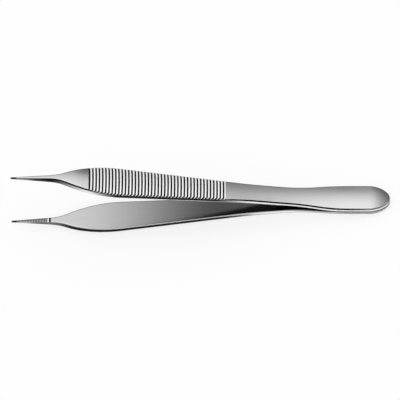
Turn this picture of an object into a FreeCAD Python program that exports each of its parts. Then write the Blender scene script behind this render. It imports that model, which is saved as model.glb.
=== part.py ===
import FreeCAD, Part
import math
import os

import Sketcher

# Thumb forceps with fine serrated tips: two equal spring arms that lie face to face at the butt.
# One arm is drawn in its own frame: X runs from the butt end to the tip, Y across the arm and Z
# away from the plane where the two arms meet. The second arm is the same forging turned over.
# Lengths are in millimetres and angles in degrees.

SIZES = {
    "length": 120.0,             # butt end to tip
    "butt_width": 10.0,
    "nose_radius": 3.6,          # round point at the very end of the butt
    "end_radius": 8.0,           # from the nose to the straight sides of the butt
    "butt_to": 13.0,             # where the straight sides of the butt end
    "waist_from": 33.0,
    "waist_to": 41.0,
    "waist_width": 7.0,
    "flank_radius": 170.0,       # from the waist out to the grip
    "grip_width": 11.25,         # widest place, just before the taper
    "shoulder_to_tip": 33.0,     # from there to the tip
    "shoulder_radius": 37.0,     # the shoulder seen from above
    "jaw_length": 12.2,          # serrated jaw, from its root to the tip
    "neck_length": 0.3,          # between the taper and the jaw
    "jaw_width": 1.85,           # at the root of the jaw
    "tip_width": 0.45,
    "butt_thickness": 1.5,       # thickness of one arm along its middle
    "heel_length": 6.0,          # the outer face falls away over the last of the butt
    "heel_radius": 38.0,
    "arm_thickness": 1.65,       # where the arm turns straight
    "tip_thickness": 0.42,
    "contact_length": 17.5,      # where the two arms touch
    "leave_angle": 3.0,          # slope of the inner face right after the contact
    "bend_radius": 400.0,        # inner face, from the contact to the straight arm
    "arm_angle": 6.9,            # inner face of the straight arm
    "elbow_to_tip": 22.0,        # where the arm bends back towards the jaw
    "elbow_radius": 120.0,
    "jaw_angle": 3.6,            # inner face of the jaw
    "flare_angle": 0.45,         # the arm grows thicker towards the shoulder
    "outer_bend_radius": 190.0,
    "shoulder_crest_radius": 64.0,
    "jaw_fall_angle": 2.4,       # the back of the jaw falls towards the tip
    "crown_radius": 55.0,        # gentle crown across the outer face
    "outer_bevel": 0.35,         # bevelled edges of the outer face
    "inner_bevel": 0.2,
    "ridges_to_tip": 25.0,       # from the nearest groove of the grip to the tip
    "groove_pitch": 1.04,
    "groove_count": 42,
    "groove_width": 0.56,
    "groove_depth": 0.34,
    "tooth_pitch": 0.5,          # cross serration of the jaw
    "tooth_count": 22,
    "tooth_depth": 0.12,
    "tip_margin": 0.5,           # from the tip to the first serration
    "relief_width": 0.36,        # shallow groove that closes the serration at its root
    "relief_depth": 0.14,
}
LIFT = 0.01                      # cutting profiles start this far above the surface they cut
MARGIN = 1.0                     # cutting profiles reach this far past the widest place
STEEP = 0.3                      # a side wall's normal rises less than this
SHALLOW = 0.7                    # an inner or outer face's normal rises more than this


def point(x, y):
    return FreeCAD.Vector(x, y, 0)


def along(angle):
    return point(math.cos(angle), math.sin(angle))


def across(angle):
    return point(-math.sin(angle), math.cos(angle))


def make_sheet(doc):
    sheet = doc.addObject("Spreadsheet::Sheet", "sizes")
    for row, (name, value) in enumerate(SIZES.items(), start=1):
        sheet.set(f"A{row}", name)
        sheet.set(f"B{row}", str(value))
        sheet.setAlias(f"B{row}", name)
    doc.recompute()
    return sheet


# Side view of one arm, in the plane through the middle of its width.

class SideView:
    def __init__(self, sheet):
        leave, arm, jaw, grip, fall = (
            math.radians(angle)
            for angle in (
                sheet.leave_angle,
                sheet.arm_angle,
                sheet.jaw_angle,
                sheet.arm_angle + sheet.flare_angle,
                sheet.jaw_fall_angle,
            )
        )
        self.grip = grip

        # Inner face: contact, bend, straight arm, elbow, jaw.
        self.contact_end = point(sheet.contact_length, 0)
        self.bend_centre = self.contact_end + across(leave) * sheet.bend_radius
        self.bend_end = self.bend_centre - across(arm) * sheet.bend_radius
        elbow_at = sheet.length - sheet.elbow_to_tip
        run = (elbow_at - self.bend_end.x) / math.cos(arm)
        self.elbow_start = self.bend_end + along(arm) * run
        self.elbow_centre = self.elbow_start - across(arm) * sheet.elbow_radius
        self.elbow_end = self.elbow_centre + across(jaw) * sheet.elbow_radius
        run = (sheet.length - self.elbow_end.x) / math.cos(jaw)
        self.tip_inner = self.elbow_end + along(jaw) * run

        # Outer face: heel, butt, bend, grip, shoulder crest, back of the jaw.
        on_grip = self.bend_end + across(grip) * sheet.arm_thickness
        meet = point(
            on_grip.x + (sheet.butt_thickness - on_grip.y) / math.tan(grip), sheet.butt_thickness
        )
        reach = sheet.outer_bend_radius * math.tan(grip / 2)
        self.outer_bend_start = meet - point(reach, 0)
        self.heel_end = point(sheet.heel_length, sheet.butt_thickness)
        self.heel_centre = self.heel_end - point(0, sheet.heel_radius)
        self.heel_fall = math.asin((sheet.heel_length + sheet.butt_thickness) / sheet.heel_radius)
        self.heel_start = self.heel_centre + across(self.heel_fall) * sheet.heel_radius
        self.outer_bend_centre = self.outer_bend_start + point(0, sheet.outer_bend_radius)
        self.grip_start = meet + along(grip) * reach
        self.tip_outer = self.tip_inner + point(0, sheet.tip_thickness)
        back = along(-fall)
        gap = self.tip_outer - on_grip
        run = (gap.x * back.y - gap.y * back.x) / math.sin(-fall - grip)
        crest = on_grip + along(grip) * run
        reach = sheet.shoulder_crest_radius * math.tan((grip + fall) / 2)
        self.grip_end = crest - along(grip) * reach
        self.crest_end = crest + back * reach
        self.crest_centre = self.grip_end - across(grip) * sheet.shoulder_crest_radius

    def on_grip_line(self, x):
        run = (x - self.grip_start.x) / math.cos(self.grip)
        return self.grip_start + along(self.grip) * run

    def rest_angle(self, sheet):
        # The pair lies on the heel and on the shoulder crest of one arm.
        gap = self.crest_centre - self.heel_centre
        growth = sheet.shoulder_crest_radius - sheet.heel_radius
        return math.atan2(gap.y, gap.x) + math.asin(growth / gap.Length)


# Half outline of one arm seen from above, from the nose of the butt to the root of the jaw.

class HalfOutline:
    def __init__(self, sheet):
        butt, waist, grip = sheet.butt_width / 2, sheet.waist_width / 2, sheet.grip_width / 2
        self.root_at = sheet.length - sheet.jaw_length
        self.nose_centre = point(sheet.nose_radius, 0)
        inner_gap = sheet.end_radius - sheet.nose_radius
        end_x = sheet.nose_radius + math.sqrt(inner_gap**2 - (sheet.end_radius - butt) ** 2)
        self.end_centre = point(end_x, butt - sheet.end_radius)
        outward = (self.nose_centre - self.end_centre).normalize()
        self.nose_end = self.end_centre + outward * sheet.end_radius
        self.end_top = point(end_x, butt)
        self.butt_end = point(sheet.butt_to, butt)

        # Two equal arcs lead from the butt into the waist.
        run, drop = sheet.waist_from - sheet.butt_to, butt - waist
        self.sway_radius = (run**2 + drop**2) / (4 * drop)
        self.butt_arc_centre = point(sheet.butt_to, butt - self.sway_radius)
        self.waist_start = point(sheet.waist_from, waist)
        self.waist_arc_centre = self.waist_start + point(0, self.sway_radius)
        self.sway_middle = (self.butt_arc_centre + self.waist_arc_centre) * 0.5
        self.waist_end = point(sheet.waist_to, waist)

        # The straight flank of the grip touches the flank arc and the shoulder arc.
        self.flank_centre = self.waist_end + point(0, sheet.flank_radius)
        widest = sheet.length - sheet.shoulder_to_tip
        self.shoulder_centre = point(widest, grip - sheet.shoulder_radius)
        both = sheet.flank_radius + sheet.shoulder_radius
        gap = self.shoulder_centre - self.flank_centre
        flank = math.atan2(gap.x, -gap.y) - math.acos(both / gap.Length)
        self.flank_end = self.flank_centre - across(flank) * sheet.flank_radius
        self.shoulder_start = self.shoulder_centre + across(flank) * sheet.shoulder_radius

        # The hollow taper touches the shoulder arc and the side of the neck.
        self.jaw_side = -math.atan((sheet.jaw_width - sheet.tip_width) / 2 / sheet.jaw_length)
        self.root_corner = point(self.root_at, sheet.jaw_width / 2)
        self.neck_start = self.root_corner - along(self.jaw_side) * sheet.neck_length
        side = across(self.jaw_side)
        gap = self.neck_start - self.shoulder_centre
        self.taper_radius = (gap.dot(gap) - sheet.shoulder_radius**2) / (
            2 * (sheet.shoulder_radius - gap.dot(side))
        )
        self.taper_centre = self.neck_start + side * self.taper_radius
        outward = (self.taper_centre - self.shoulder_centre).normalize()
        self.shoulder_end = self.shoulder_centre + outward * sheet.shoulder_radius


class DrivenSketch:
    # A sketch on an origin plane of its body, drawn as one path, with dimensions that read the sheet.

    def __init__(self, body, name, plane, offset=None):
        self.sketch = body.newObject("Sketcher::SketchObject", f"{body.Label}_{name}")
        self.sketch.AttachmentSupport = [(origin_plane(body, plane), "")]
        self.sketch.MapMode = "FlatFace"
        if offset is not None:
            self.sketch.AttachmentOffset = offset

    def begin(self, start):
        self.here = start
        self.path = []

    def add(self, *constraint):
        return self.sketch.addConstraint(Sketcher.Constraint(*constraint))

    def size(self, name, expression, *constraint):
        index = self.add(*constraint)
        self.sketch.renameConstraint(index, name)
        if expression:
            self.sketch.setExpression("Constraints." + name, expression)

    def join(self, index, first, last, smooth):
        if self.path:
            before, _, leave = self.path[-1]
            self.add("Tangent" if smooth else "Coincident", before, leave, index, first)
        self.path.append((index, first, last))
        return index

    def line(self, end, smooth=False):
        index = self.sketch.addGeometry(Part.LineSegment(self.here, end), False)
        self.here = end
        return self.join(index, 1, 2, smooth)

    def arc(self, end, centre, clockwise, smooth=True):
        first, last = (end, self.here) if clockwise else (self.here, end)
        angles = [math.atan2(p.y - centre.y, p.x - centre.x) for p in (first, last)]
        if angles[1] < angles[0]:
            angles[1] += 2 * math.pi
        circle = Part.Circle(centre, FreeCAD.Vector(0, 0, 1), (end - centre).Length)
        index = self.sketch.addGeometry(Part.ArcOfCircle(circle, *angles), False)
        self.here = end
        ends = (2, 1) if clockwise else (1, 2)
        return self.join(index, *ends, smooth)

    def close(self):
        first, last = self.path[0], self.path[-1]
        self.add("Coincident", last[0], last[2], first[0], first[1])

    def at_x(self, name, expression, index, vertex, value):
        self.size(name, expression, "DistanceX", -1, 1, index, vertex, value)

    def at_y(self, name, expression, index, vertex, value):
        self.size(name, expression, "DistanceY", -1, 1, index, vertex, value)

    def radius(self, name, expression, index, value):
        self.size(name, expression, "Radius", index, value)

    def angle(self, name, expression, index, value):
        self.size(name, expression, "Angle", index, value)


def origin_plane(body, role):
    return next(plane for plane in body.Origin.OriginFeatures if plane.Role == role)


def shifted(place, height=0.0, angle=0.0):
    # Offset of a sketch: a place on its plane, a height off it, and a turn within it.
    turn = FreeCAD.Rotation(FreeCAD.Vector(0, 0, 1), math.degrees(angle))
    return FreeCAD.Placement(place + FreeCAD.Vector(0, 0, height), turn)


def outline_sketch(body, sheet, plan):
    draw = DrivenSketch(body, "outline", "XY_Plane")
    draw.begin(point(0, 0))
    nose = draw.arc(plan.nose_end, plan.nose_centre, clockwise=True)
    end = draw.arc(plan.end_top, plan.end_centre, clockwise=True)
    butt = draw.line(plan.butt_end, smooth=True)
    sway = draw.arc(plan.sway_middle, plan.butt_arc_centre, clockwise=True)
    sway_back = draw.arc(plan.waist_start, plan.waist_arc_centre, clockwise=False)
    waist = draw.line(plan.waist_end, smooth=True)
    flank = draw.arc(plan.flank_end, plan.flank_centre, clockwise=False)
    draw.line(plan.shoulder_start, smooth=True)
    shoulder = draw.arc(plan.shoulder_end, plan.shoulder_centre, clockwise=True)
    draw.arc(plan.neck_start, plan.taper_centre, clockwise=False)
    neck = draw.line(plan.root_corner, smooth=True)
    root = draw.line(point(plan.root_at, 0))
    middle = draw.line(point(0, 0))
    draw.close()

    draw.add("Coincident", nose, 2, -1, 1)
    draw.add("PointOnObject", nose, 3, -1)
    draw.add("Horizontal", butt)
    draw.add("Horizontal", waist)
    draw.add("Vertical", root)
    draw.add("Horizontal", middle)
    draw.add("Equal", sway, sway_back)
    draw.radius("nose", "sizes.nose_radius", nose, sheet.nose_radius)
    draw.radius("end", "sizes.end_radius", end, sheet.end_radius)
    draw.at_x("butt_to", "sizes.butt_to", butt, 2, sheet.butt_to)
    draw.at_y("butt_side", "sizes.butt_width / 2", butt, 2, sheet.butt_width / 2)
    draw.at_x("waist_from", "sizes.waist_from", waist, 1, sheet.waist_from)
    draw.at_x("waist_to", "sizes.waist_to", waist, 2, sheet.waist_to)
    draw.at_y("waist_side", "sizes.waist_width / 2", waist, 2, sheet.waist_width / 2)
    draw.radius("flank", "sizes.flank_radius", flank, sheet.flank_radius)
    draw.radius("shoulder", "sizes.shoulder_radius", shoulder, sheet.shoulder_radius)
    draw.at_x("widest", "sizes.length - sizes.shoulder_to_tip",
              shoulder, 3, plan.shoulder_centre.x)
    below = sheet.shoulder_radius - sheet.grip_width / 2
    draw.size("shoulder_side", "sizes.shoulder_radius - sizes.grip_width / 2",
              "DistanceY", shoulder, 3, -1, 1, below)
    draw.size("neck", "sizes.neck_length", "Distance", neck, sheet.neck_length)
    draw.at_x("root_at", "sizes.length - sizes.jaw_length", neck, 2, plan.root_at)
    draw.at_y("root_side", "sizes.jaw_width / 2", neck, 2, sheet.jaw_width / 2)
    draw.angle("jaw_side", "-atan((sizes.jaw_width - sizes.tip_width) / 2 / sizes.jaw_length)",
               neck, plan.jaw_side)
    return draw.sketch


def inner_face_sketch(body, sheet, side):
    # What is cut away under the inner face, beyond the contact with the other arm.
    draw = DrivenSketch(body, "inner_face", "XZ_Plane")
    below = -sheet.butt_thickness
    draw.begin(side.contact_end)
    bend = draw.arc(side.bend_end, side.bend_centre, clockwise=False)
    straight = draw.line(side.elbow_start, smooth=True)
    elbow = draw.arc(side.elbow_end, side.elbow_centre, clockwise=True)
    jaw = draw.line(side.tip_inner, smooth=True)
    tip = draw.line(point(sheet.length, below))
    floor = draw.line(point(sheet.contact_length, below))
    step = draw.line(side.contact_end)
    draw.close()

    draw.add("PointOnObject", bend, 1, -1)
    draw.add("Vertical", tip)
    draw.add("Horizontal", floor)
    draw.add("Vertical", step)
    draw.at_x("contact", "sizes.contact_length", bend, 1, sheet.contact_length)
    draw.radius("bend", "sizes.bend_radius", bend, sheet.bend_radius)
    lean = side.contact_end.x - side.bend_centre.x
    draw.size("leave", "sizes.bend_radius * sin(sizes.leave_angle)",
              "DistanceX", bend, 3, bend, 1, lean)
    draw.angle("arm", "sizes.arm_angle", straight, math.radians(sheet.arm_angle))
    draw.at_x("elbow_at", "sizes.length - sizes.elbow_to_tip", straight, 2, side.elbow_start.x)
    draw.radius("elbow", "sizes.elbow_radius", elbow, sheet.elbow_radius)
    draw.angle("jaw", "sizes.jaw_angle", jaw, math.radians(sheet.jaw_angle))
    draw.at_x("tip_at", "sizes.length", jaw, 2, sheet.length)
    draw.size("below", "sizes.butt_thickness", "DistanceY", floor, 1, -1, 1, -below)
    return draw.sketch


def back_line_sketch(body, sheet, side):
    # The line that the crowned outer face follows, from behind the butt to the tip.
    draw = DrivenSketch(body, "back_line", "XZ_Plane")
    draw.begin(side.heel_start)
    heel = draw.arc(side.heel_end, side.heel_centre, clockwise=True)
    butt = draw.line(side.outer_bend_start, smooth=True)
    bend = draw.arc(side.grip_start, side.outer_bend_centre, clockwise=False)
    grip = draw.line(side.grip_end, smooth=True)
    crest = draw.arc(side.crest_end, side.crest_centre, clockwise=True)
    jaw = draw.line(side.tip_outer, smooth=True)

    draw.add("Horizontal", butt)
    draw.size("start", "sizes.butt_thickness", "DistanceX", heel, 2, -1, 1, sheet.butt_thickness)
    draw.radius("heel", "sizes.heel_radius", heel, sheet.heel_radius)
    draw.at_x("heel_to", "sizes.heel_length", butt, 1, sheet.heel_length)
    draw.at_y("butt_top", "sizes.butt_thickness", butt, 1, sheet.butt_thickness)
    draw.radius("bend", "sizes.outer_bend_radius", bend, sheet.outer_bend_radius)
    draw.angle("grip", "sizes.arm_angle + sizes.flare_angle", grip, side.grip)
    draw.at_x("grip_from", None, grip, 1, side.grip_start.x)
    draw.radius("crest", "sizes.shoulder_crest_radius", crest, sheet.shoulder_crest_radius)
    draw.angle("fall", "-sizes.jaw_fall_angle", jaw, -math.radians(sheet.jaw_fall_angle))
    draw.at_x("tip_at", "sizes.length", jaw, 2, sheet.length)
    draw.at_y("tip_height", None, jaw, 2, side.tip_outer.y)
    return draw.sketch


def crown_sketch(body, sheet, side, height):
    # Everything above the crown, square to the start of the back line.
    lean = FreeCAD.Rotation(FreeCAD.Vector(-1, 0, 0), math.degrees(side.heel_fall))
    start = FreeCAD.Vector(0, side.heel_start.y, side.heel_start.x)
    draw = DrivenSketch(body, "crown", "YZ_Plane", FreeCAD.Placement(start, lean))
    fall = "asin((sizes.heel_length + sizes.butt_thickness) / sizes.heel_radius)"
    drop = f"sizes.heel_radius * (1 - cos({fall}))"
    draw.sketch.setExpression("AttachmentOffset.Base.y", f"sizes.butt_thickness - {drop}")
    draw.sketch.setExpression("AttachmentOffset.Base.z", "-sizes.butt_thickness")
    draw.sketch.setExpression("AttachmentOffset.Rotation.Angle", fall)
    reach = sheet.grip_width / 2 + MARGIN
    centre = point(0, -sheet.crown_radius)
    sag = centre.y + math.sqrt(sheet.crown_radius**2 - reach**2)
    draw.begin(point(-reach, sag))
    crown = draw.arc(point(reach, sag), centre, clockwise=True)
    right = draw.line(point(reach, height))
    top = draw.line(point(-reach, height))
    left = draw.line(point(-reach, sag))
    draw.close()

    draw.add("Vertical", right)
    draw.add("Horizontal", top)
    draw.add("Vertical", left)
    draw.add("PointOnObject", crown, 3, -2)
    draw.radius("crown", "sizes.crown_radius", crown, sheet.crown_radius)
    draw.size("depth", "sizes.crown_radius", "DistanceY", crown, 3, -1, 1, sheet.crown_radius)
    draw.at_x("reach", f"sizes.grip_width / 2 + {MARGIN}", right, 1, reach)
    draw.size("left_reach", f"sizes.grip_width / 2 + {MARGIN}", "DistanceX", left, 2, -1, 1, reach)
    draw.at_y("height", None, right, 2, height)
    return draw.sketch


def tip_sketch(body, sheet, side):
    # End of the jaw: the section of its root, scaled down to the width of the tip.
    draw = DrivenSketch(body, "tip", "YZ_Plane", shifted(point(0, 0), sheet.length))
    draw.sketch.setExpression("AttachmentOffset.Base.z", "sizes.length")
    low, high, half = side.tip_inner.y, side.tip_outer.y, sheet.tip_width / 2
    scale = sheet.tip_width / sheet.jaw_width
    bevel, top_bevel = sheet.inner_bevel * scale, sheet.outer_bevel * scale
    draw.begin(point(-half + bevel, low))
    bottom = draw.line(point(half - bevel, low))
    draw.line(point(half, low + bevel))
    right = draw.line(point(half, high - top_bevel))
    draw.line(point(half - top_bevel, high))
    top = draw.line(point(-half + top_bevel, high))
    draw.line(point(-half, high - top_bevel))
    left = draw.line(point(-half, low + bevel))
    draw.line(point(-half + bevel, low))
    draw.close()

    draw.add("Vertical", right)
    draw.add("Symmetric", bottom, 1, bottom, 2, -2)
    draw.add("Symmetric", right, 1, left, 2, -2)
    draw.add("Symmetric", right, 2, left, 1, -2)
    draw.add("Symmetric", top, 1, top, 2, -2)
    shrink = "sizes.tip_width / sizes.jaw_width"
    draw.at_x("half_width", "sizes.tip_width / 2", right, 1, half)
    draw.at_x("half_bottom", f"sizes.tip_width / 2 - sizes.inner_bevel * {shrink}",
              bottom, 2, half - bevel)
    draw.at_x("half_top", f"sizes.tip_width / 2 - sizes.outer_bevel * {shrink}",
              top, 1, half - top_bevel)
    draw.size("bevel", f"sizes.inner_bevel * {shrink}", "DistanceY", bottom, 2, right, 1, bevel)
    draw.size("top_bevel", f"sizes.outer_bevel * {shrink}", "DistanceY", right, 2, top, 1, top_bevel)
    draw.at_y("low", None, bottom, 2, low)
    draw.size("thickness", "sizes.tip_thickness", "DistanceY", bottom, 2, top, 1, high - low)
    return draw.sketch


def groove_sketch(body, sheet, side):
    # One groove between two ridges, and the axis of the crown that it is turned about.
    nearest = sheet.length - sheet.ridges_to_tip
    place = shifted(side.on_grip_line(nearest), angle=side.grip)
    draw = DrivenSketch(body, "groove", "XZ_Plane", place)
    half, depth = sheet.groove_width / 2, sheet.groove_depth
    lifted = half * (1 + LIFT / depth)
    draw.begin(point(lifted, LIFT))
    lid = draw.line(point(-lifted, LIFT))
    draw.line(point(0, -depth))
    wall = draw.line(point(lifted, LIFT))
    draw.close()
    ends = point(-half, -sheet.crown_radius), point(half, -sheet.crown_radius)
    axis = draw.sketch.addGeometry(Part.LineSegment(*ends), True)

    draw.add("Symmetric", lid, 1, lid, 2, -2)
    draw.add("PointOnObject", wall, 1, -2)
    draw.add("Symmetric", axis, 1, axis, 2, -2)
    draw.at_y("lift", None, lid, 1, LIFT)
    draw.at_x("half_lid", f"sizes.groove_width / 2 * (1 + {LIFT} / sizes.groove_depth)",
              lid, 1, lifted)
    draw.size("depth", "sizes.groove_depth", "DistanceY", wall, 1, -1, 1, depth)
    draw.size("crown", "sizes.crown_radius", "DistanceY", axis, 1, -1, 1, sheet.crown_radius)
    draw.size("axis_length", "sizes.groove_width", "DistanceX", axis, 1, axis, 2, half * 2)
    return draw.sketch


def tooth_sketch(body, sheet, side):
    # One square notch across the inner face of the jaw.
    jaw = math.radians(sheet.jaw_angle)
    place = shifted(side.tip_inner - along(jaw) * sheet.tip_margin, angle=jaw)
    draw = DrivenSketch(body, "notch", "XZ_Plane", place)
    half = sheet.tooth_depth + LIFT
    draw.begin(point(-half, -LIFT))
    flank = draw.line(point(0, sheet.tooth_depth))
    draw.line(point(half, -LIFT))
    base = draw.line(point(-half, -LIFT))
    draw.close()

    draw.add("PointOnObject", flank, 2, -2)
    draw.add("Symmetric", base, 1, base, 2, -2)
    draw.at_y("depth", "sizes.tooth_depth", flank, 2, sheet.tooth_depth)
    draw.at_x("half_width", f"sizes.tooth_depth + {LIFT}", base, 1, half)
    draw.size("lift", None, "DistanceY", base, 1, -1, 1, LIFT)
    return draw.sketch


def relief_sketch(body, sheet, side):
    # The shallow square groove at the root of the serration.
    jaw = math.radians(sheet.jaw_angle)
    place = shifted(side.tip_inner - along(jaw) * sheet.jaw_length, angle=jaw)
    draw = DrivenSketch(body, "relief", "XZ_Plane", place)
    half, depth = sheet.relief_width / 2, sheet.relief_depth
    draw.begin(point(-half, -depth))
    bottom = draw.line(point(half, -depth))
    right = draw.line(point(half, depth))
    top = draw.line(point(-half, depth))
    left = draw.line(point(-half, -depth))
    draw.close()

    draw.add("Horizontal", bottom)
    draw.add("Vertical", right)
    draw.add("Horizontal", top)
    draw.add("Vertical", left)
    draw.add("Symmetric", bottom, 1, right, 2, -1, 1)
    draw.size("width", "sizes.relief_width", "DistanceX", bottom, 1, bottom, 2, sheet.relief_width)
    draw.size("height", "sizes.relief_depth * 2", "DistanceY", right, 1, right, 2, depth * 2)
    return draw.sketch


def normal_at(face, where):
    return face.normalAt(*face.Surface.parameter(where))


def rim_edges(shape, root_at, outer):
    # Edges where the side wall meets the outer or the inner face, short of the root of the jaw.
    names = []
    for number, edge in enumerate(shape.Edges, start=1):
        where = edge.valueAt((edge.FirstParameter + edge.LastParameter) / 2)
        slopes = [normal_at(face, where).z for face in shape.ancestorsOfType(edge, Part.Face)]
        wall, skin = min(slopes, key=abs), max(slopes, key=abs)
        is_rim = abs(wall) < STEEP and abs(skin) > SHALLOW and (skin > 0) == outer
        if is_rim and root_at - where.x > LIFT:
            names.append(f"Edge{number}")
    return names


def root_face(shape, root_at):
    for number, face in enumerate(shape.Faces, start=1):
        if abs(face.CenterOfMass.x - root_at) < LIFT and abs(face.normalAt(0, 0).x) > SHALLOW:
            return f"Face{number}"


def cut_across(body, name, profile):
    cut = body.newObject("PartDesign::Pocket", f"{body.Label}_{name}")
    cut.Profile = profile
    cut.Type = "ThroughAll"
    cut.SideType = "Symmetric"
    body.Document.recompute()
    return cut


def repeat(body, name, feature, pitch, count, backwards=False):
    row = body.newObject("PartDesign::LinearPattern", f"{body.Label}_{name}")
    row.Originals = [feature]
    row.Direction = (feature.Profile[0], ["H_Axis"])
    row.Reversed = backwards
    row.Mode = "Spacing"
    row.setExpression("Offset", pitch)
    row.setExpression("Occurrences", count)
    body.Tip = row
    body.Document.recompute()
    return row


def build_arm(doc, sheet, side, name):
    plan = HalfOutline(sheet)
    body = doc.addObject("PartDesign::Body", name)
    body.Label = name
    height = sheet.length * math.tan(side.grip)

    half = body.newObject("PartDesign::Pad", name + "_half_blank")
    half.Profile = outline_sketch(body, sheet, plan)
    half.Length = height
    whole = body.newObject("PartDesign::Mirrored", name + "_blank")
    whole.Originals = [half]
    whole.MirrorPlane = (origin_plane(body, "XZ_Plane"), [""])
    body.Tip = whole
    doc.recompute()

    cut_across(body, "inner_cut", inner_face_sketch(body, sheet, side))
    crown = body.newObject("PartDesign::SubtractivePipe", name + "_crown_cut")
    crown.Profile = crown_sketch(body, sheet, side, height * 2)
    crown.Spine = back_line_sketch(body, sheet, side)
    doc.recompute()

    blank = crown
    for skin in ("outer", "inner"):
        bevel = body.newObject("PartDesign::Chamfer", f"{name}_{skin}_bevel")
        bevel.Base = (blank, rim_edges(blank.Shape, plan.root_at, outer=skin == "outer"))
        bevel.setExpression("Size", f"sizes.{skin}_bevel")
        doc.recompute()
        blank = bevel

    jaw = body.newObject("PartDesign::AdditiveLoft", name + "_jaw")
    jaw.Profile = (blank, [root_face(blank.Shape, plan.root_at)])
    jaw.Sections = [(tip_sketch(body, sheet, side), [""])]
    jaw.Ruled = True
    doc.recompute()

    groove = body.newObject("PartDesign::Groove", name + "_first_groove")
    groove.Profile = groove_sketch(body, sheet, side)
    groove.ReferenceAxis = (groove.Profile[0], ["Axis0"])
    groove.Midplane = True
    groove.setExpression("Angle", f"2 * asin((sizes.grip_width / 2 + {MARGIN}) / sizes.crown_radius)")
    doc.recompute()
    repeat(body, "ridges", groove, "sizes.groove_pitch", "sizes.groove_count", backwards=True)

    notch = cut_across(body, "first_notch", tooth_sketch(body, sheet, side))
    repeat(body, "teeth", notch, "sizes.tooth_pitch", "sizes.tooth_count", backwards=True)
    cut_across(body, "relief_cut", relief_sketch(body, sheet, side))
    return body


def turn_over(doc, arm, name):
    # The other arm is a clone of the first.
    forging = doc.addObject("PartDesign::FeatureBase", name + "_forging")
    forging.BaseFeature = arm
    body = doc.addObject("PartDesign::Body", name)
    body.Label = name
    body.Group = [forging]
    body.Tip = forging
    doc.recompute()
    return body


def rest_placement(sheet, side):
    # Tips towards -X, lying on the heel and the shoulder of the lower arm, centred over the origin.
    tilt = side.rest_angle(sheet)
    heel, tip = side.heel_centre, side.tip_outer
    depth = heel.y * math.cos(tilt) - heel.x * math.sin(tilt) + sheet.heel_radius
    wall_top = heel.y + math.sqrt(sheet.heel_radius**2 - heel.x**2) - sheet.outer_bevel
    butt_x = wall_top * math.sin(tilt)
    tip_x = -tip.x * math.cos(tilt) - tip.y * math.sin(tilt)
    about = FreeCAD.Rotation(FreeCAD.Vector(0, 0, 1), 180)
    lean = FreeCAD.Rotation(FreeCAD.Vector(0, 1, 0), math.degrees(tilt))
    return FreeCAD.Placement(FreeCAD.Vector(-(butt_x + tip_x) / 2, 0, depth), lean * about)


def check(doc, arms):
    for thing in doc.Objects:
        if {"Invalid", "Error"} & set(thing.State):
            raise RuntimeError(f"{thing.Name} is {thing.State}")
    for arm in arms:
        if arm.Shape.isNull() or not arm.Shape.isValid() or len(arm.Shape.Solids) != 1:
            raise RuntimeError(f"{arm.Label} is not one valid solid")


def main():
    doc = FreeCAD.newDocument("thumb_forceps")
    sheet = make_sheet(doc)
    side = SideView(sheet)
    upper = build_arm(doc, sheet, side, "upper_arm")
    lower = turn_over(doc, upper, "lower_arm")
    over = FreeCAD.Rotation(FreeCAD.Vector(1, 0, 0), 180)
    upper.Placement = rest_placement(sheet, side)
    lower.Placement = upper.Placement * FreeCAD.Placement(FreeCAD.Vector(), over)
    doc.recompute()
    check(doc, (upper, lower))
    os.makedirs("parts", exist_ok=True)
    for arm in (upper, lower):
        arm.Shape.exportStep(f"parts/{arm.Label}.step")
        box = arm.Shape.optimalBoundingBox(False)
        print(arm.Label, "volume", round(arm.Shape.Volume, 1), "low", round(box.ZMin, 3))


main()
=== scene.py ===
import math

import bpy
import bmesh
from mathutils import Matrix, Vector

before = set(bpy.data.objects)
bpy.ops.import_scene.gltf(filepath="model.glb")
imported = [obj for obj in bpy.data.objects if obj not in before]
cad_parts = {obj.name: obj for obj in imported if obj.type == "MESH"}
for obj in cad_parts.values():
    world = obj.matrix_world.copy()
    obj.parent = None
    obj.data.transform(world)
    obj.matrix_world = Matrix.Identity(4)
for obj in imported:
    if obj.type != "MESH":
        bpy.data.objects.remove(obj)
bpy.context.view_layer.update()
print("frame loaded:", sorted(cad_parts))

mm = 0.001
imageSide = 400


# Shader sockets that take part in plain Python sums

class Socket:
    def __init__(self, maker, link):
        self.maker = maker
        self.link = link

    def maths(self, operation, first, second):
        return self.maker.node("ShaderNodeMath", {"operation": operation}, {0: first, 1: second})

    def __add__(self, other):
        return self.maths("ADD", self, other)

    def __radd__(self, other):
        return self.maths("ADD", other, self)

    def __sub__(self, other):
        return self.maths("SUBTRACT", self, other)

    def __rsub__(self, other):
        return self.maths("SUBTRACT", other, self)

    def __mul__(self, other):
        return self.maths("MULTIPLY", self, other)

    def __rmul__(self, other):
        return self.maths("MULTIPLY", other, self)

    def __truediv__(self, other):
        return self.maths("DIVIDE", self, other)

    def __rtruediv__(self, other):
        return self.maths("DIVIDE", other, self)


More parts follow.
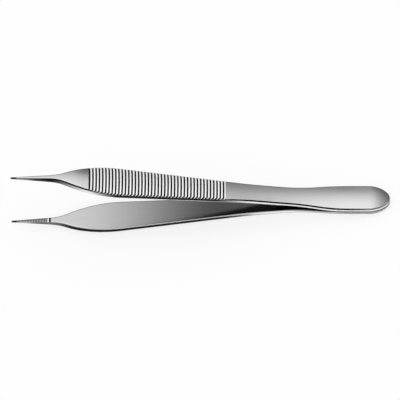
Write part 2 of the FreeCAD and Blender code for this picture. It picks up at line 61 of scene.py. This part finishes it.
class ShaderMaker:
    def __init__(self, tree):
        self.tree = tree
        tree.nodes.clear()

    def node(self, kind, settings=None, inputs=None, outputs=0):
        made = self.tree.nodes.new(kind)
        for name, value in (settings or {}).items():
            if name == "stops":
                self.setStops(made.color_ramp.elements, value)
            else:
                setattr(made, name, value)
        for name, value in (inputs or {}).items():
            if isinstance(value, Socket):
                self.tree.links.new(value.link, made.inputs[name])
            else:
                made.inputs[name].default_value = value
        if isinstance(outputs, list):
            return [Socket(self, made.outputs[output]) for output in outputs]
        return Socket(self, made.outputs[outputs]) if len(made.outputs) else None

    def setStops(self, elements, stops):
        while len(elements) < len(stops):
            elements.new(0.5)
        for element, (place, level) in zip(elements, stops):
            element.position = place
            element.color = (level, level, level, 1)

    def ramp(self, factor, stops):
        return self.node("ShaderNodeValToRGB", {"stops": stops}, {"Fac": factor})

    def smooth(self, value, low, high):
        settings = {"interpolation_type": "SMOOTHSTEP"}
        return self.node("ShaderNodeMapRange", settings, {"Value": value, "From Min": low, "From Max": high})

    def levels(self, value, stops):
        # A level that runs smoothly through stops of (place, level), and stays level outside them
        level = stops[0][1]
        for (low, before), (high, after) in zip(stops, stops[1:]):
            if after != before:
                level = level + self.smooth(value, low, high) * (after - before)
        return level

    def blend(self, factor, first, second):
        return first + (second - first) * factor

    def absolute(self, value):
        return self.node("ShaderNodeMath", {"operation": "ABSOLUTE"}, {0: value})

    def fromWhole(self, value):
        # Distance to the nearest whole number
        return self.node("ShaderNodeMath", {"operation": "PINGPONG"}, {0: value, 1: 0.5})

    def parts(self, vector):
        return self.node("ShaderNodeSeparateXYZ", {}, {0: vector}, [0, 1, 2])

    def grey(self, level):
        return self.node("ShaderNodeCombineColor", {}, {0: level, 1: level, 2: level})

    def place(self):
        return self.node("ShaderNodeTexCoord", outputs="Object")

    def noise(self, place, scale, detail):
        # Noise from -0.5 to 0.5
        return self.node("ShaderNodeTexNoise", {}, {"Vector": place, "Scale": scale, "Detail": detail}) - 0.5

    def finish(self, shader, output="ShaderNodeOutputMaterial"):
        self.node(output, {}, {"Surface": shader})


def newMaterial(name):
    material = bpy.data.materials.new(name)
    material.use_nodes = True
    return material, ShaderMaker(material.node_tree)


# Where things lie on one arm, in millimetres from the butt end and off the middle plane of the pair

arms = {
    "outward": {"upper": 1, "lower": -1},   # up or down from the middle plane
    "tipsUp": 5.722,                  # degrees by which the middle plane rises to the tips
    "butt": (60.2065, 1.0837),        # butt end on the middle plane, x and z in the frame
    "gripSlope": 7.35,                # degrees between the ridged face and the middle plane
    "crownRadius": 55.0,
    "nearestGroove": (95.0, 10.511),  # the groove nearest the tip
    "groovePitch": 1.04,
    "grooveCount": 42,
    "grooveHalf": 0.28,               # half the width of a groove
    "jawSlope": 3.6,
    "jawTip": (120.0, 10.392),        # tip end of the jaw's inner face
    "jawLength": 12.2,                # from there to the middle of the root groove
    "toothPitch": 0.5,
    "toothMargin": 0.5,               # from the tip to the first notch
    "easedEdge": 0.45,                # width over which an edge is rounded to the eye
    "easedSamples": 8,
}


class ArmPlaces:
    # Sockets for the place on an arm and the way that its surface faces there

    def __init__(self, maker, arm):
        self.maker = maker
        self.arm = arm
        buttX, buttZ = arms["butt"]
        x, self.y, z = [part / mm for part in maker.parts(maker.place())]
        tilt = math.radians(arms["tipsUp"])
        self.along = (buttX - x) * math.cos(tilt) + (z - buttZ) * math.sin(tilt)
        self.off = self.outward(x - buttX, z - buttZ)
        self.eased = maker.node("ShaderNodeBevel", {"samples": arms["easedSamples"]},
                                {"Radius": arms["easedEdge"] * mm})
        self.sideways = maker.parts(self.eased)[1]
        self.facing = self.facingOf(self.eased)
        self.flatFacing = self.facingOf(maker.node("ShaderNodeNewGeometry", outputs="True Normal"))

    def outward(self, x, z):
        # The part of x and z that points out of the pair, square to its middle plane
        tilt = math.radians(arms["tipsUp"])
        return (x * math.sin(tilt) + z * math.cos(tilt)) * arms["outward"][self.arm]

    def facingOf(self, normal):
        # 1 on the outer face, 0 on the sides and -1 on the inner face
        x, y, z = self.maker.parts(normal)
        return self.outward(x, z)

    def onLine(self, origin, slope):
        # Place along and above a sloping line in the side view of the arm
        turn = math.radians(slope)
        run, rise = self.along - origin[0], self.off - origin[1]
        return run * math.cos(turn) + rise * math.sin(turn), rise * math.cos(turn) - run * math.sin(turn)

    def lengthwise(self, stops):
        return self.maker.levels(self.along, stops)


# The ridged grip: ridges painted bright as a painted highlight, with grooves between painted dark as painted
# shade, in millimetres

ridges = {
    "hook": 0.9,                      # how far the ends of the painted highlight and shade lean to the tips where the edge turns over
    "bow": 0.004,                     # and how the whole ridge bows
    "lip": 0.3,                       # painted highlight on the lip beyond the last groove, towards the butt
    "fade": 0.05,                     # softness of both ends of the grip
    "skin": [(0.4, 1), (0.5, 0)],     # depth under the crown at which the pattern ends
    "dark": [(0.75, 1), (1.05, 0)],   # painted shade in a groove, in shares of its half width
}


def ridgeMasks(maker, where):
    run, rise = where.onLine(arms["nearestGroove"], arms["gripSlope"])
    crown = where.y * where.y / (2 * arms["crownRadius"])
    skin = maker.levels(rise * -1 - crown, ridges["skin"])
    pitch, half, fade = arms["groovePitch"], arms["grooveHalf"], ridges["fade"]
    lipEnd = -(arms["grooveCount"] - 1) * pitch - half - ridges["lip"]
    zone = maker.levels(run, [(lipEnd - fade, 0), (lipEnd, 1), (half, 1), (half + fade, 0)]) * skin
    lean = where.sideways * where.sideways * ridges["hook"] + where.y * where.y * ridges["bow"]
    fromGroove = maker.fromWhole((run - lean) / pitch) * pitch
    return zone, zone * maker.levels(fromGroove / half, ridges["dark"])


# The inner face of a jaw: fine notches and the groove at its root painted dark as painted shade, and a strip
# between them painted bright as a painted highlight, in millimetres

jaws = {
    "skin": [(0.14, 1), (0.2, 0)],    # depth under the inner face at which the pattern ends
    "tipFade": 0.2,
    "notch": [(0.11, 1), (0.17, 0)],  # painted shade in a notch, from its middle
    "root": [(0.26, 1), (0.34, 0)],   # painted shade in the root groove, from its middle
    "teeth": [(0.7, 0), (0.8, 1)],    # where the teeth begin, from the root groove
    "stripHighlight": [(0.2, 0), (0.3, 0.6), (0.7, 0.6), (0.8, 0)],   # the painted highlight on the strip between
}


def jawMasks(maker, where):
    run, rise = where.onLine(arms["jawTip"], arms["jawSlope"])
    skin = maker.levels(rise, jaws["skin"])
    length, pitch = arms["jawLength"], arms["toothPitch"]
    fromRoot = run + length
    tipEnd = [(length - jaws["tipFade"], 1), (length, 0)]
    teeth = skin * maker.levels(fromRoot, jaws["teeth"] + tipEnd)
    fromNotch = maker.fromWhole((run + arms["toothMargin"]) / pitch) * pitch
    notch = maker.levels(fromNotch, jaws["notch"])
    root = maker.levels(maker.absolute(fromRoot), jaws["root"])
    stripHighlight = maker.levels(fromRoot, jaws["stripHighlight"])
    return teeth, teeth * notch, skin * root, skin * stripHighlight


# The painted shade line under the outer edge, wider towards the tips, and the fainter painted shade line
# along the inner edge.
# Each arm's lists run along it from the butt, in millimetres, and those of both go by the facing

rims = {
    "upper": {
        "lowest": [(106, -0.06), (110, -1.2)],              # facing to which the outer line comes down
        "onWall": [(42, 0), (56, 1), (86, 1), (98, 0), (101, 0), (107, 1), (115, 0.6)],   # its strength there
        "outerLine": [(1, 0.4), (14, 1)],                   # strength of the whole outer line
        "innerLine": [(45, 1), (60, 0)],                    # and of the inner one
        "innerWidth": [(14, 0), (20, 0.05), (28, 0.05), (38, 0)],
    },
    "lower": {
        "lowest": [(42, 0), (56, -0.28)],
        "onWall": [(12, 1), (24, 0), (34, 0), (52, 1), (101, 1), (107, 0.3)],
        "outerLine": [(0, 1)],
        "innerLine": [(24, 1), (34, 0)],
        "innerWidth": [(14, 0), (20, 0.12), (28, 0.12), (38, 0)],
    },
    "highest": [(42, 0.86), (56, 0.62), (94, 0.62), (96, 0.86)],   # along the arm, where it ends above
    "soft": 0.04,                                           # half the width over which it fades
    "edge": [(0.06, 0), (0.14, 1)],
    "inner": [(-0.22, 1), (-0.06, 0)],
    "offInside": [(-0.9, 0), (-0.6, 1)],                    # keeps both lines off the flat inner face
}


def rimMasks(maker, where):
    own, soft = rims[where.arm], rims["soft"]
    edge = maker.levels(where.facing, rims["edge"])
    wall = maker.smooth(where.facing - where.lengthwise(own["lowest"]), -soft, soft)
    outer = edge + (1 - edge) * wall * where.lengthwise(own["onWall"])
    face = maker.smooth(where.facing - where.lengthwise(rims["highest"]), -soft, soft)
    outer = outer * (1 - face) * where.lengthwise(own["outerLine"])
    inner = maker.levels(where.facing - where.lengthwise(own["innerWidth"]), rims["inner"])
    inner = inner * where.lengthwise(own["innerLine"])
    offInside = maker.levels(where.flatFacing, rims["offInside"])
    return offInside * outer, offInside * inner


# The steel: satin faces, ridges painted bright as a painted highlight with painted shade in the grooves
# between, painted shade lines along the rims and painted shade towards the inner ends

steel = {
    # Grey levels
    "colour": 0.7,
    "wallColour": 0.95,               # the ground sides
    # painted highlight: the ridges of the grip and the strip in the jaw are painted near white
    "ridgeHighlightColour": 1.0,
    "jawColour": 0.65,
    # painted shade: the grooves of the grip and the notches of the jaw are painted near black
    "grooveShadeColour": 0.01,
    # painted shade: the dark lines along the outer edges, the root groove of the jaw and the very tips
    "rimShadeColour": 0.01,
    "seamShadeColour": 0.06,               # painted shade: the fainter line along the inner edge
    "handleShadeColour": 0.57,             # painted shade on the plain face next to the ridges, towards the butt
    "cornerShadeColour": 0.38,             # painted shade on the far corner of the plain face before the first ridge
    "buttEndShadeColour": 0.3,                 # painted shade over the last millimetres of the butt
    "insideShadeColour": 0.09,             # painted shade inside, where the arms close on each other
    "neckShadeColour": 0.25,               # painted shade on the sides of the neck between the grip and the jaw
    # Where they lie along the arm, in millimetres from the butt
    "handle": [(33, 0), (50, 1), (60, 1), (70, 0)],
    "corner": [(90, 0), (95, 1), (95.5, 1), (101, 0)],
    "end": [(0.5, 1), (7, 0)],
    "inside": [(53, 1), (104, 0)],
    "neck": [(94, 0), (103, 1), (112, 1), (116, 0)],
    "tip": [(117.5, 0), (119, 1)],
    # Across it, in millimetres from its middle, and by the way that the surface faces
    "farSide": [(0, 0), (4, 1)],
    "outerFace": [(0.6, 0), (0.9, 1)],
    "innerFace": [(-0.9, 1), (-0.6, 0)],
    "walls": [(0.4, 1), (0.6, 0)],
    "ridgeTops": [(0.5, 0), (0.62, 1)],
    # Gloss
    "ridgeHighlightMetal": 0.3,                # the ridges' tops scatter more light than they mirror, which keeps them white as a painted highlight
    "roughness": 0.16,
    "ridgeRoughness": 0.3,
    "grooveRoughness": 0.4,
    # Fine lines along the arm and soft clouds, with scales per metre
    "brushScale": (120.0, 2600.0, 2600.0),
    "brushDetail": 3.0,
    "brushColour": 0.1,
    "brushRoughness": 0.1,
    "brushHeight": 0.6,
    "cloudScale": 90.0,
    "cloudDetail": 2.0,
    "cloudColour": 0.04,
    "cloudRoughness": 0.05,
    "cloudHeight": 0.4,
    "bumpStrength": 0.05,
    "bumpDepth": 0.02,                # millimetres
}


def makeSteel(arm):
    material, maker = newMaterial(arm + "ArmSteel")
    where = ArmPlaces(maker, arm)
    ridged, grooveShade = ridgeMasks(maker, where)
    teeth, notch, root, stripHighlight = jawMasks(maker, where)
    outerRimShade, innerRimShade = rimMasks(maker, where)
    outerFace = maker.levels(where.flatFacing, steel["outerFace"])
    innerFace = maker.levels(where.flatFacing, steel["innerFace"])
    walls = maker.levels(maker.absolute(where.flatFacing), steel["walls"])
    farSide = maker.levels(where.y, steel["farSide"])

    streaks = maker.node("ShaderNodeMapping", {}, {"Vector": maker.place(), "Scale": steel["brushScale"]})
    brushed = maker.noise(streaks, 1.0, steel["brushDetail"])
    cloud = maker.noise(maker.place(), steel["cloudScale"], steel["cloudDetail"])

    level = steel["colour"] + brushed * steel["brushColour"] + cloud * steel["cloudColour"]
    layers = [
        (outerFace * where.lengthwise(steel["handle"]), "handleShadeColour"),
        (outerFace * farSide * where.lengthwise(steel["corner"]), "cornerShadeColour"),
        (outerFace * where.lengthwise(steel["end"]), "buttEndShadeColour"),
        (innerFace * where.lengthwise(steel["inside"]), "insideShadeColour"),
        (walls, "wallColour"),
        (walls * where.lengthwise(steel["neck"]), "neckShadeColour"),
        (teeth, "jawColour"),
        (ridged, "ridgeHighlightColour"),
        (stripHighlight, "ridgeHighlightColour"),
        (outerRimShade, "rimShadeColour"),
        (innerRimShade, "seamShadeColour"),
        (grooveShade, "grooveShadeColour"),
        (notch, "grooveShadeColour"),
        (root, "rimShadeColour"),
        # the very tips painted near black, painted shade
        (where.lengthwise(steel["tip"]), "rimShadeColour"),
    ]
    for mask, colour in layers:
        level = maker.blend(mask, level, steel[colour])

    roughness = steel["roughness"] + brushed * steel["brushRoughness"] + cloud * steel["cloudRoughness"]
    roughness = maker.blend(ridged, roughness, steel["ridgeRoughness"])
    roughness = maker.blend(grooveShade, roughness, steel["grooveRoughness"])
    paintedRidgeTops = ridged * maker.levels(where.facing, steel["ridgeTops"]) * (1 - grooveShade)
    bump = {
        "Strength": steel["bumpStrength"],
        "Distance": steel["bumpDepth"] * mm,
        "Height": brushed * steel["brushHeight"] + cloud * steel["cloudHeight"],
        "Normal": where.eased,
    }
    inputs = {
        "Base Color": maker.grey(level),
        "Metallic": 1 - paintedRidgeTops * (1 - steel["ridgeHighlightMetal"]),
        "Roughness": roughness,
        "Normal": maker.node("ShaderNodeBump", {}, bump),
    }
    maker.finish(maker.node("ShaderNodeBsdfPrincipled", {}, inputs))
    return material


for arm in ("upper", "lower"):
    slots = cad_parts[arm + "_arm"].data.materials
    slots.clear()
    slots.append(makeSteel(arm))
print("steel on both arms")


# The camera looks square on to the plane in which the arms spread, from the near side and above

view = {
    "above": 49.6,                    # degrees above the middle plane of the pair
    "pixelsPerMillimetre": 3.159,
    "distance": 3000 * mm,
    "centrePixel": (199.02, 200.0),   # the middle of the forceps in the picture
    "aim": (0.0, 0.0, 7.09),          # that place on the forceps, in millimetres
    "sensor": 36,
    "nearest": 0.1,                   # metres from the camera at which the view begins
    "farthest": 20,                   # and ends
}


def makeCamera():
    tips = math.radians(arms["tipsUp"])
    above = math.radians(view["above"])
    right = Vector((math.cos(tips), 0, -math.sin(tips)))
    normal = Vector((math.sin(tips), 0, math.cos(tips)))
    forward = (Vector((0, 1, 0)) * math.cos(above) - normal * math.sin(above)).normalized()
    upward = right.cross(forward)
    pixel = mm / view["pixelsPerMillimetre"]
    camera = bpy.data.cameras.new("camera")
    camera.sensor_width = view["sensor"]
    camera.lens = view["sensor"] / imageSide / pixel * view["distance"]
    camera.clip_start = view["nearest"]
    camera.clip_end = view["farthest"]
    thing = bpy.data.objects.new("camera", camera)
    bpy.context.scene.collection.objects.link(thing)
    aside = (imageSide / 2 - view["centrePixel"][0]) * pixel
    aloft = (view["centrePixel"][1] - imageSide / 2) * pixel
    place = Vector(view["aim"]) * mm - forward * view["distance"] + right * aside + upward * aloft
    turned = Matrix((right, upward, -forward)).transposed().to_4x4()
    thing.matrix_world = Matrix.Translation(place) @ turned
    bpy.context.scene.camera = thing


makeCamera()
print("camera placed")


def addThing(name, shape, material):
    mesh = bpy.data.meshes.new(name)
    shape.to_mesh(mesh)
    shape.free()
    mesh.materials.append(material)
    thing = bpy.data.objects.new(name, mesh)
    bpy.context.scene.collection.objects.link(thing)
    return thing


# White floor

ground = {
    "side": 6.0,
    "white": 0.97,
    "glow": 0.75,                     # share of plain white that the camera and the steel see in it
}


def makeFloor():
    material, maker = newMaterial("whiteFloor")
    white = ground["white"]
    diffuse = maker.node("ShaderNodeBsdfDiffuse", {}, {"Color": (white, white, white, 1)})
    glow = maker.node("ShaderNodeEmission", {}, {"Strength": 1.0})
    seen = ["Is Camera Ray", "Is Glossy Ray", "Is Transmission Ray"]
    camera, glossy, transmission = maker.node("ShaderNodeLightPath", outputs=seen)
    factor = (camera + glossy + transmission) * ground["glow"]
    maker.finish(maker.node("ShaderNodeMixShader", {}, {0: factor, 1: diffuse, 2: glow}))
    shape = bmesh.new()
    bmesh.ops.create_grid(shape, x_segments=1, y_segments=1, size=ground["side"] / 2)
    floor = addThing("floor", shape, material)


makeFloor()
print("floor laid")


# Plain world, and a light tent that only the gloss of the steel sees

light = {
    "world": 1.0,
    "tentRadius": 1.4,
    "tentFoot": 0.01,                 # height of its hem above the floor
    "tentSegments": 48,
    # Brightness of the tent from the horizon behind the forceps, over the top, to the near horizon
    "tentRise": [(0.0, 0.12), (0.19, 0.08), (0.232, 0.25), (0.256, 0.65), (0.284, 1.0), (0.325, 1.25),
                 (0.52, 1.4), (0.6, 0.8), (0.9, 0.8), (1.0, 0.5)],
    # How much darker it is towards the butt and beyond the tips, by x in shares of the radius
    "tentButt": [(0.12, 0), (0.42, 0.35)],
    "tentTips": [(-0.9, 0.55), (-0.5, 0)],
}


def makeWorld():
    world = bpy.data.worlds.new("world")
    bpy.context.scene.world = world
    world.use_nodes = True
    maker = ShaderMaker(world.node_tree)
    inputs = {"Color": (1, 1, 1, 1), "Strength": light["world"]}
    maker.finish(maker.node("ShaderNodeBackground", {}, inputs), "ShaderNodeOutputWorld")


def makeTent():
    radius = light["tentRadius"]
    material, maker = newMaterial("tentCloth")
    x, y, z = maker.parts(maker.place())
    rise = maker.node("ShaderNodeMath", {"operation": "ARCTAN2"}, {0: z, 1: y}) / math.pi
    darker = maker.levels(x / radius, light["tentButt"]) + maker.levels(x / radius, light["tentTips"])
    level = maker.ramp(rise, light["tentRise"]) * (1 - darker)
    maker.finish(maker.node("ShaderNodeEmission", {}, {"Color": maker.grey(level), "Strength": 1.0}))
    shape = bmesh.new()
    segments = light["tentSegments"]
    bmesh.ops.create_uvsphere(shape, u_segments=segments, v_segments=segments // 2, radius=radius)
    everything = shape.verts[:] + shape.edges[:] + shape.faces[:]
    foot = (0, 0, light["tentFoot"])
    bmesh.ops.bisect_plane(shape, geom=everything, plane_co=foot, plane_no=(0, 0, 1), clear_inner=True)
    tent = addThing("lightTent", shape, material)
    tent.visible_camera = False
    tent.visible_diffuse = False
    tent.visible_shadow = False
    tent.visible_transmission = False


makeWorld()
makeTent()
bpy.context.scene.view_settings.view_transform = "Standard"
print("light set")
